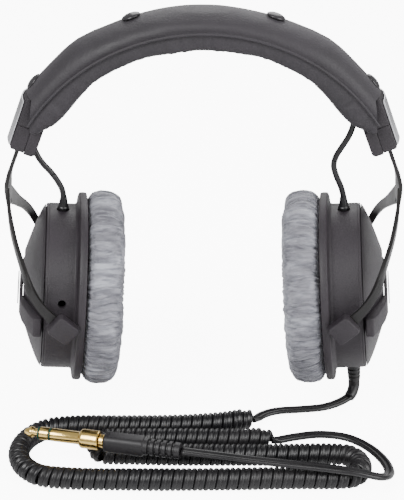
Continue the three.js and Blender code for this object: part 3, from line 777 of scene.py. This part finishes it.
def make_band(mats):
    """The padded band, with room cut for the sliders, its piping and its press studs."""
    steps = 90
    rings = [pad_ring(-BAND_END + 2 * BAND_END * i / steps, 48, 0.6) for i in range(steps + 1)]
    faces = sweep_faces(len(rings), len(rings[0]))
    pad = add_object("headband_cushion", [p for ring in rings for p in ring], faces, mats["leatherette"])
    inflate(pad, 4, 1.0)
    reshape(subdivide(pad, 2), band_creases)
    for _, sx in SIDES:
        for s0, s1, t0, t1, half in ((-35, 6, -1.4, 1.4, 7.6), (BLOCK_TOP - 0.3, 8, -20, 12, 30)):
            boolean(pad, add_object("tool", *stem_box(s0, s1, t0, t1, half, sx), mats["leatherette"]))
        room = [(s, [(t - 0.3, -30), (20, -30), (20, 30), (t - 0.3, 30)])
                for s, t in ((COLLAR_TOP - 0.3, COLLAR_TOP_IN), (BLOCK_TOP, COLLAR_IN))]
        boolean(pad, plan_loft("tool", room, sx, mats["leatherette"], 0))
    sharp_shade(pad, 60)
    register(pad, "headband", "leatherette", "headband_pad")
    for side in (1, -1):
        make_piping(mats, side)
    for suffix, sx in SIDES:
        for where, degrees in (("upper", 18.2), ("lower", 48.5)):
            make_stud(mats, f"stud_{where}_{suffix}", sx * degrees)


def make_stud(mats, node, degrees):
    """A press stud: a domed cap with a rolled rim, sunk a little into the pad."""
    profile = [(-0.1, 0), (-0.1, 4.4), (0.35, 4.65), (0.8, 4.4), (1.15, 3.9), (1.6, 2.8), (1.9, 1.5), (2, 0)]
    verts, faces = revolve(rounded(profile, 0.4), 48)
    a = math.radians(degrees)
    placed = []
    for u, y, z in verts:
        radius, across = TOP_R - (0.5 if abs(degrees) > 40 else 0.2) + u, z
        placed.append((radius * math.sin(a) + across * math.cos(a), y,
                       ARCH_Z + radius * math.cos(a) - across * math.sin(a)))
    register(add_object(node + "_cap", placed, faces, mats["stud"]), "headband", "black_gloss", node)


# ---- slider, fork, cup ----------------------------------------------------------------------
BLOCK_TOP, BLOCK_END = -17, -4.3          # down the stem
BLOCK_OUT, BLOCK_EDGE_OUT = 5.6, 3.4      # the bowed face at its middle and at its edges
BLOCK_SPLIT, BLOCK_IN = -3.4, -9
BLOCK_HALF, BLOCK_FLAT = 12.5, 3
COLLAR_TOP = -31.4
COLLAR_TOP_IN, COLLAR_IN = 1.4, -3
PLATE_HALF = 11.5


def stem_prism(name, outline, half, sx, material, width, segments=3):
    """An (s, t) outline in the slider's side view, as wide as 2 half, with rounded edges."""
    verts = [along_stem(s, t, y, sx) for y in (-half, half) for s, t in outline]
    return bevel(add_object(name, verts, prism_faces(len(outline)), material), width, segments)


def bow(y, extra=0.0):
    """How far out the slider's bowed face stands at a distance across it."""
    fall = max(0, (abs(y) - BLOCK_FLAT) / (BLOCK_HALF - BLOCK_FLAT)) ** 1.25
    return BLOCK_OUT + extra - (BLOCK_OUT - BLOCK_EDGE_OUT) * fall


def plan_loft(name, stations, sx, material, width, segments=3):
    """A prism along the stem from plan outlines of (t, y), one at each station of s."""
    verts = [along_stem(s, t, y, sx) for s, outline in stations for t, y in outline]
    obj = add_object(name, verts, sweep_faces(len(stations), len(stations[0][1])), material)
    return bevel(obj, width, segments, 40) if width else obj


def bowed_plan(inner, scale=1.0):
    across = [BLOCK_HALF * k / 8 for k in range(-8, 9)]
    face = [(inner + (bow(y) - inner) * scale, y) for y in across]
    return [(inner, -BLOCK_HALF), *face, (inner, BLOCK_HALF)]


def make_slider(mats, suffix, sx):
    """The slider's two halves, the hood above them and the plate on its bowed face."""
    split = 0.01
    outer = [(s, bowed_plan(BLOCK_SPLIT + split, k)) for s, k in
             ((BLOCK_TOP, 1), (BLOCK_END - 1.2, 1), (BLOCK_END - 0.4, 0.97), (BLOCK_END, 0.92))]
    obj = plan_loft("slider_outer_" + suffix, outer, sx, mats["charcoal"], 0.45)
    boolean(obj, add_object("tool", *stem_box(BLOCK_TOP - 5, 5, -1.2, 1.2, 7.3, sx), mats["charcoal"]))
    register(sharp_shade(obj), "headband", "charcoal_plastic", "slider_outer_half_" + suffix)
    low = BLOCK_END + 0.6
    inner = [(BLOCK_TOP, BLOCK_IN), (BLOCK_TOP, BLOCK_SPLIT - split), (low, BLOCK_SPLIT - split),
             (low, BLOCK_IN + 1.6), (BLOCK_END - 0.2, BLOCK_IN + 0.5), (BLOCK_END - 1.4, BLOCK_IN)]
    obj = stem_prism("slider_inner_" + suffix, inner, BLOCK_HALF, sx, mats["charcoal"], 0.5)
    register(obj, "headband", "charcoal_plastic", "slider_inner_half_" + suffix)
    hood = [(s, bowed_plan(np.interp(s, (COLLAR_TOP, BLOCK_TOP), (COLLAR_TOP_IN, COLLAR_IN)), k)) for s, k in
            ((COLLAR_TOP, 0.5), (COLLAR_TOP + 0.4, 0.74), (COLLAR_TOP + 1.2, 0.9), (COLLAR_TOP + 2.6, 1),
             (BLOCK_TOP - 0.1, 1))]
    obj = plan_loft("slider_hood_" + suffix, hood, sx, mats["charcoal"], 0.4)
    boolean(obj, add_object("tool", *stem_box(COLLAR_TOP + 1, 4, -4, 1.2, 7.3, sx), mats["charcoal"]))
    sharp_shade(obj)
    register(obj, "headband", "charcoal_plastic", "slider_collar_" + suffix)
    across = [PLATE_HALF * k / 8 for k in range(-8, 9)]
    rim = [(bow(y, 0.35), y) for y in across] + [(bow(y, 1.05), y) for y in reversed(across)]
    plate = [(s, rim) for s in (COLLAR_TOP + 2.4, BLOCK_END - 1.6)]
    obj = plan_loft("slider_plate_" + suffix, plate, sx, mats["plate"], 0.15, 2)
    register(obj, "headband", "silver_plate", "slider_face_plate_" + suffix)


def flat_strip(name, stations, thickness, sx, material):
    """A steel strip on a smooth path: stations are (centre, face normal, half width)."""
    keys = np.array([[*at, *normal, half] for at, normal, half in stations], float)
    gaps = np.linalg.norm(np.diff(keys[:, :3], axis=0), axis=1)
    knots = np.concatenate([[0], np.cumsum(gaps)])
    slopes = np.gradient(keys, knots, axis=0)
    rows = []
    for i, gap in enumerate(gaps):
        for t in np.arange(0, 1, 1 / 7):
            start, leave = 2 * t ** 3 - 3 * t ** 2 + 1, t ** 3 - 2 * t ** 2 + t
            end, arrive = -2 * t ** 3 + 3 * t ** 2, t ** 3 - t ** 2
            rows.append(start * keys[i] + leave * gap * slopes[i] + end * keys[i + 1]
                        + arrive * gap * slopes[i + 1])
    rows = np.array([*rows, keys[-1]])
    ahead = np.gradient(rows[:, :3], axis=0)
    ahead /= np.linalg.norm(ahead, axis=1)[:, None]
    side = np.cross(ahead, rows[:, 3:6])
    side /= np.linalg.norm(side, axis=1)[:, None]
    out = np.cross(side, ahead)
    verts = []
    for (x, y, z, *_, half), s, o in zip(rows, side, out):
        for a, b in ((-1, -1), (1, -1), (1, 1), (-1, 1)):
            p = np.array([x, y, z]) + a * half * s + b * thickness / 2 * o
            verts.append(in_fork(p, sx))
    return add_object(name, verts, sweep_faces(len(rows), 4), material)


# one arm of the fork, downwards: centre x, y, z, the way its face looks, and half its width
YOKE = [(24.6, 3.6, 55, 1, 0, 0, 3.4), (24.5, 9, 49.2, 1, 0.02, 0, 4.4), (23.6, 17, 44, 1, 0.08, 0, 4.2),
        (22.4, 24, 39.6, 1, 0.15, 0, 3.4), (21, 30, 35.6, 1, 0.2, 0, 2.8), (19, 37, 31, 1, 0.28, 0.05, 2.4),
        (17, 43, 26, 0.9, 0.5, 0.1, 2.2), (15.2, 46.6, 21.4, 0.6, 0.8, 0.1, 2),
        (12, 47.5, 14.4, 0.3, 1, 0.1, 2),
        (7, PIVOT_Y, 6.9, 0, 1, 0, 2.3), (1, PIVOT_Y, 0.9, 0, 1, 0, 3.2), (-2.2, PIVOT_Y, -2.3, 0, 1, 0, 3.3)]
STEM_UP = 22
STEM_DOWN = 12.5


def make_fork(mats, suffix, sx):
    """The painted steel Y: a flat stem and two arms that twist round to the pivots."""
    tilt = (math.sin(SLIDE_TILT), -math.cos(SLIDE_TILT))
    flat = (math.cos(SLIDE_TILT), 0, math.sin(SLIDE_TILT))
    stem = [((STEM_EXIT[0] + s * tilt[0], 0, STEM_EXIT[1] + s * tilt[1]), flat, 7)
            for s in (-STEM_UP, -STEM_UP / 2, 0, STEM_DOWN / 2, STEM_DOWN)]
    stem += [((97, -1.2, 57), (1, 0, 0.1), 7.6), (toed(24.6, 0, 49), (1, -0.11, 0), 10)]
    obj = flat_strip("fork_steel_" + suffix, stem, STEEL, sx, mats["steel_paint"])
    c, d = math.cos(TOE_IN), math.sin(TOE_IN)
    for side in (1, -1):
        arm = [(toed(x, side * y, z), (nx * c - side * ny * d, nx * d + side * ny * c, nz), half)
               for x, y, z, nx, ny, nz, half in YOKE]
        boolean(obj, flat_strip("arm", arm, STEEL, sx, mats["steel_paint"]), "UNION")
    bevel(obj, 0.28, 2, 50)
    register(obj, "fork_" + suffix, "painted_steel", "fork_" + suffix)
    for end, side in (("front", -1), ("back", 1)):
        make_pivot_cap(mats, suffix, sx, end, side)


def make_pivot_cap(mats, suffix, sx, end, side):
    """A wedge of plastic over the pivot, in line with the fork's arm."""
    outline = [(-6, -4.8), (-5, -6), (5.8, -6), (7.2, -4.6), (7.2, 4.6), (5.8, 6), (-4.6, 5.8), (-6, 4.2)]
    inner, turn = PIVOT_Y + STEEL / 2 + 0.3, math.radians(-42)
    verts = []
    for outer, k in ((0, 1), (1, 0.9)):
        for a, b in outline:
            a, b = a * k, b * k
            y = inner + (3.6 + 0.12 * b if outer else 0)
            x = a * math.cos(turn) + b * math.sin(turn)
            z = -a * math.sin(turn) + b * math.cos(turn)
            verts.append(in_fork(toed(x, side * y, z), sx))
    name = f"pivot_cover_{end}_{suffix}"
    obj = bevel(add_object(name, verts, prism_faces(len(outline)), mats["charcoal"]), 0.35, 3)
    register(obj, "fork_" + suffix, "charcoal_plastic", f"pivot_cap_{end}_{suffix}")


def cup_object(name, mesh, sx, material):
    """An object from the points and faces of a mesh in a cup's own frame."""
    verts, faces = mesh
    return add_object(name, [in_cup(v, sx) for v in verts], faces, material)


def rod_mesh(radius, start, end, sides=40):
    a, b = Vector(start), Vector(end)
    turn = (b - a).to_track_quat("Z", "Y").to_matrix()
    verts = [a + turn @ Vector((radius * math.cos(t), radius * math.sin(t), h))
             for h in (0, (b - a).length) for t in (2 * math.pi * k / sides for k in range(sides))]
    return [tuple(v) for v in verts], prism_faces(sides)


def make_shell(mats, suffix, sx):
    """The cup's drum and flange, drilled for the pivots, the lead, the cord and the vent."""
    profile = [(FLANGE_U, CUP_R - 2.2), (FLANGE_U, 48.2), (FLANGE_U + 1.6, 48.5), (FLANGE_U + 3.6, 48.3),
               (FLANGE_U + 4.2, 47), (FLANGE_U + 3.9, 44.6), (FLANGE_U + 4.6, 43.3), (FLANGE_U + 5.6, CUP_R),
               (SPLIT_U - 1.6, CUP_R), (SPLIT_U - 1.2, CUP_R - 0.35), (SPLIT_U - 0.7, CUP_R - 0.05),
               (SPLIT_U, CUP_R - 0.5), (SPLIT_U, CUP_R - 2.2)]
    mesh = revolve(rounded(profile, 0.35, 3, True), 160, True)
    obj = cup_object("shell_" + suffix, mesh, sx, mats["charcoal"])

    def drill(radius, start, end):
        boolean(obj, cup_object("tool", rod_mesh(radius, start, end), sx, mats["charcoal"]))

    pins_and_lead = [(1.8, 0, 1, 0), (1.8, 0, -1, 0), (3.2, 2, 0, 1)]
    cord = [(3.9, 3, 0, -1)] if suffix == "l" else []
    if suffix == "r":
        drill(2, (1.5, -30, 9.6), (1.5, -60, 9.6))      # the vent
    for r, u, y, z in pins_and_lead + cord:
        drill(r, (u, y * 30, z * 30), (u, y * 60, z * 60))
    register(sharp_shade(obj), "cup_" + suffix, "charcoal_plastic", "cup_shell_" + suffix)


def make_cover(mats, suffix, sx):
    """The shallow cone over the drum's outer end."""
    steps = 10
    outside = [(SPLIT_U + 0.3 + (FACE_U - SPLIT_U - 0.3) * (i / steps) ** 0.9,
                CUP_R - 0.5 - (CUP_R - FACE_R - 0.5) * (i / steps) ** 1.15) for i in range(steps + 1)]
    inside = [(max(u - 1.2, SPLIT_U + 0.3), r - 2.2) for u, r in reversed(outside[:-1])]
    profile = [(FACE_U - 0.5, 0), (FACE_U - 0.5, 12), (FACE_U, 13), *reversed(outside), *reversed(inside),
               (FACE_U - 2.2, FACE_R - 2), (FACE_U - 2.2, 0)]
    obj = cup_object("cover_" + suffix, revolve(rounded(profile, 0.5), 160), sx, mats["cover"])
    register(sharp_shade(obj), "cup_" + suffix, "charcoal_plastic", "outer_cover_" + suffix)


def make_cross_bar(mats, suffix, sx):
    """The bar across the cone, with its blank badge."""
    half = [(FACE_U + 0.3, 0), (FACE_U + 0.1, 18), (17.3, 25.6), (15.2, 31), (12.9, 37.1), (11, 42.6),
            (11, 44.4), (14.8, 44.4), (17.6, 38.2), (FACE_U + 0.6, 27.6), (FACE_U + 1.9, 19.4),
            (FACE_U + 2, 0)]
    outline = half + [(u, -y) for u, y in reversed(half[1:-1])]
    verts = [in_cup((u, y, z), sx) for z in (-7.2, 2.8) for u, y in outline]
    obj = bevel(add_object("bar_" + suffix, verts, prism_faces(len(outline)), mats["charcoal"]), 0.8, 3, 20)
    register(obj, "cup_" + suffix, "charcoal_plastic", "cross_bar_" + suffix)
    mesh = box_mesh(FACE_U + 2.3, FACE_U + 2.9, -11, 11, -6, 2.2)
    plate = cup_object("badge_plate_" + suffix, mesh, sx, mats["plate"])
    register(bevel(plate, 0.2, 2), "cup_" + suffix, "silver_plate", "badge_" + suffix)


def gathers(angle, u, seed):
    """How deep the velour's folds are at an angle round the pad: long creases along the pad's axis."""
    warp = 0.05 * noise.noise((u * 0.1, angle * 3, seed))
    c, s = math.cos(angle + warp), math.sin(angle + warp)
    coarse = noise.noise((c * 8, s * 8, u * 0.02 + seed))
    medium = noise.noise((c * 19, s * 19, u * 0.03 + seed * 2))
    fine = noise.noise((c * 38, s * 38, u * 0.05 + seed * 3))
    return 0.35 * coarse + 0.65 - 1.3 * abs(medium) - 1.3 * abs(fine)


PAD_R, PAD_HALF_R = 39, 11.2      # the middle of the pad's ring, and half the ring's width


def pad_section(count):
    """The pad's ring section: a full, round-shouldered cushion."""
    middle_u, half_u = (PAD_FACE_U + FLANGE_U - 0.3) / 2, (FLANGE_U - 0.3 - PAD_FACE_U) / 2
    points = []
    for i in range(count):
        a = 2 * math.pi * i / count
        c, s = math.cos(a), math.sin(a)
        power = 0.62 if c < 0 else 0.5
        u = middle_u + half_u * math.copysign(abs(c) ** power, c)
        points.append((u, PAD_R + PAD_HALF_R * math.copysign(abs(s) ** 0.72, s)))
    return points


def make_ear_pad(mats, suffix, sx):
    """The velour ring, swollen as cloth with its back edge held under the flange, then gathered."""
    section = [(u + 0.8 if u < FLANGE_U - 4 else u, PAD_R + (r - PAD_R) * 0.93) for u, r in pad_section(20)]
    obj = cup_object("velour_pad_" + suffix, revolve(section, 90, True), sx, mats["velour"])
    inflate(obj, 4, 1.1, lambda p: from_cup(p, sx)[0] > FLANGE_U - 1.5)
    subdivide(obj, 3)
    seed = 3.7 if sx > 0 else 9.1

    def creased(p, normal):
        u, y, z = from_cup(p, sx)
        r, angle = math.hypot(y, z), math.atan2(y, z)
        outer = max(0, min(1, (r - 34) / 12))
        fold = gathers(angle, u, seed) * (0.2 + 0.8 * outer)
        if u > FLANGE_U - 1.2:
            fold = min(fold, 0)
        return p + normal * fold * 1.5

    def off_flange(p, _):
        u, y, z = from_cup(p, sx)
        return in_cup((min(u, FLANGE_U - 0.35), y, z), sx)

    reshape(obj, creased)
    reshape(obj, off_flange)
    register(obj, "cup_" + suffix, "velour", "ear_pad_" + suffix)


def make_lead_relief(mats, suffix, sx):
    """The grommet that a lead goes through into its cup."""
    profile = [(38, 0), (38, 2.6), (43, 2.6), (43.2, 2.9), (43.8, 2.9), (44.3, 2.5), (48.8, 1.75),
               (49.4, 1.5), (49.4, 0)]
    verts, faces = revolve(rounded(profile, 0.25), 48)
    placed = [in_cup((2 + z, y, u), sx) for u, y, z in verts]
    obj = add_object("lead_gland_" + suffix, placed, faces, mats["rubber"])
    register(sharp_shade(obj, 50), "cup_" + suffix, "cord_black", "lead_relief_" + suffix)


def make_cord_relief(mats):
    """The main cord's strain relief: a taper with bending grooves."""
    profile = [(38, 0), (38, 3.4), (43, 3.4), (43.3, 4), (44.4, 4), (44.9, 3.7)]
    for k in range(4):
        h = 45.8 + 2.3 * k
        r = 3.75 - 0.12 * k
        profile += [(h, r), (h + 0.3, r - 0.55), (h + 0.8, r - 0.55), (h + 1.1, r - 0.03)]
    profile += [(56, 3.1), (56, 0)]
    verts, faces = revolve(rounded(profile, 0.15), 48)
    obj = add_object("cord_gland", [in_cup((3 + z, y, -u), 1) for u, y, z in verts], faces, mats["rubber"])
    return bend(obj, ("cord_relief",))


def make_cord_sleeve(mats):
    """The outer sleeve that the relief is moulded on, round the first stretch of the cord."""
    line = smooth_path(STRAIGHT_ROUTE, 0.5)[0]
    line = line[:int(len(line) * SLEEVE_SHARE)]
    _, side, up = frames_along(line, (0, 1, 0))
    n, verts = 32, []
    for i, (p, a, b) in enumerate(zip(line, side, up)):
        t = i / (len(line) - 1)
        r = 3.1 - 0.25 * t - (0.35 * max(0, (t - 0.95) / 0.05))
        verts += [(x, y, z + CUP_Z) for x, y, z in round_ring(p, r, a, b, n)]
    obj = add_object("cord_sleeve", verts, sweep_faces(len(line), n), mats["rubber"])
    return bend(obj, ("cord_straight",))


LEAD_D = 3
LEAD_ROUTES = {
    "l": [(74, 0, 90.4), (73.2, 0, 87.6), (72.4, 0, 84.4), (71, -0.1, 80.8), (68.2, -0.3, 76),
          (65.2, -0.5, 70.6), (64.4, -0.6, 66), (65.9, -0.5, 60.6), (68.6, -0.2, 54.4), (70, 0, 49.6),
          (70.7, 0, 46.5)],
    "r": [(83.6, 0.2, 75.4), (82.3, 0, 72.2), (81.2, -0.3, 70), (79, -0.7, 66.8), (75.6, -0.8, 62.8),
          (72.6, -0.5, 58), (70.6, -0.1, 53.4), (70.1, 0, 49.6), (70.4, 0, 46.5)]}


def make_lead(mats, suffix, sx):
    """The lead in two stretches: one between band and fork, the other between fork and cup."""
    line, _ = smooth_path(LEAD_ROUTES[suffix], 0.7)
    middle = len(line) // 2
    fork, cup = "fork_" + suffix, "cup_" + suffix
    for name, part, bodies in (("upper", line[:middle + 1], ("headband", fork)),
                               ("lower", line[middle:], (fork, cup))):
        _, side, up = frames_along(part, (0, 1, 0))
        n = 20
        verts = [in_fork(v, sx) for p, a, b in zip(part, side, up)
                 for v in round_ring(p, LEAD_D / 2, a, b, n)]
        obj = add_object(f"lead_{name}_{suffix}", verts, sweep_faces(len(part), n), mats["rubber"])
        bend(obj, ("lead_" + suffix,))


# ---- the CAD's own pieces that stay ---------------------------------------------------------
KEPT = {"baffle": "black", "driver": "black", "driver_foam": "foam", "rear_felt": "foam",
        "pivot_pin_front": "spring", "pivot_pin_back": "spring"}


def finish_kept_nodes(mats):
    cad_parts["headband_spring"].material_slots[0].material = mats["spring"]
    for suffix, _ in SIDES:
        for node, material in KEPT.items():
            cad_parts[f"{node}_{suffix}"].material_slots[0].material = mats[material]


def main():
    make_camera()
    mats = make_materials()
    plug = make_plug(mats)
    gland = make_cord_relief(mats)
    make_cord(mats, plug + [gland, make_cord_sleeve(mats)])
    make_floor()
    make_lights()
    make_band(mats)
    for suffix, sx in SIDES:
        make_slider(mats, suffix, sx)
        make_fork(mats, suffix, sx)
        make_shell(mats, suffix, sx)
        make_cover(mats, suffix, sx)
        make_cross_bar(mats, suffix, sx)
        make_ear_pad(mats, suffix, sx)
        make_lead_relief(mats, suffix, sx)
        make_lead(mats, suffix, sx)
    finish_kept_nodes(mats)


main()
